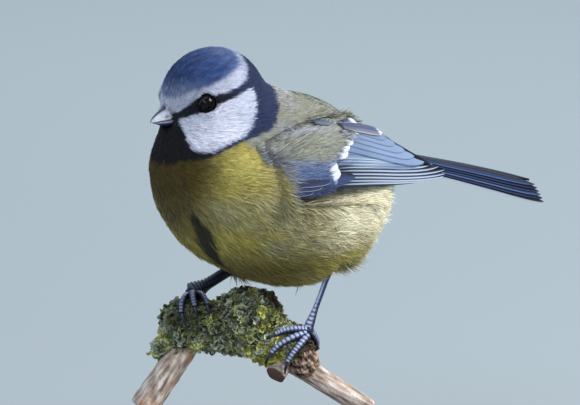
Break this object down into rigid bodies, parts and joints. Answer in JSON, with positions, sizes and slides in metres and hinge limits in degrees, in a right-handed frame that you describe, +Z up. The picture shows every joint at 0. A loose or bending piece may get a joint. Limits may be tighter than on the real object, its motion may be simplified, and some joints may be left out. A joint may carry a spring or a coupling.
{
  "type": "blue tit on a perch",
  "caption": "Still, life-size model of a small blue, white and yellow songbird gripping a lichened twig on a plain round display stand.",
  "frame": {"origin": "middle of the underside of the stand's base", "axes": "+X the way the bird's body faces, +Y to the bird's left, +Z up"},
  "size_m": [0.1183, 0.084, 0.1105],
  "materials": {
    "crown": "matt feathers, blue, white and blue-black",
    "collar": "matt feathers, blue-black",
    "breast": "matt feathers, lemon yellow",
    "belly": "matt feathers, yellow to off-white",
    "back": "matt feathers, olive green",
    "wing": "feather vanes with a slight sheen, blue-grey",
    "tail": "feather vanes with a slight sheen, blue",
    "bill": "horn, satin, grey with a pale edge",
    "eye": "wet gloss, near black",
    "leg": "horny scales, satin, blue-grey",
    "claw": "horn, satin, dark grey",
    "lichen": "crumbly lichen crust, matt, green and yellow",
    "bark": "weathered bark, matt",
    "stand": "dark turned wood, satin",
    "rod": "plain steel rod, satin"
  },
  "bodies": {
    "root": {"head": "crown", "bill_upper": "bill", "bill_lower": "bill", "eye_left": "eye", "eye_right": "eye", "neck": "collar", "breast": "breast", "back": "back", "belly": "belly", "rump": "back", "tail": "tail", "wing_left": "wing", "wing_right": "wing", "thigh_left": "belly", "tarsus_left": "leg", "foot_left": "leg", "claw_left_1": "claw", "claw_left_2": "claw", "claw_left_3": "claw", "claw_left_4": "claw", "thigh_right": "belly", "tarsus_right": "leg", "foot_right": "leg", "claw_right_1": "claw", "claw_right_2": "claw", "claw_right_3": "claw", "claw_right_4": "claw", "perch_lichen": "lichen", "perch_twig_left": "bark", "perch_twig_right": "bark", "stand_base": "stand", "stand_rod_left": "rod", "stand_rod_right": "rod"}
  },
  "joints": []
}
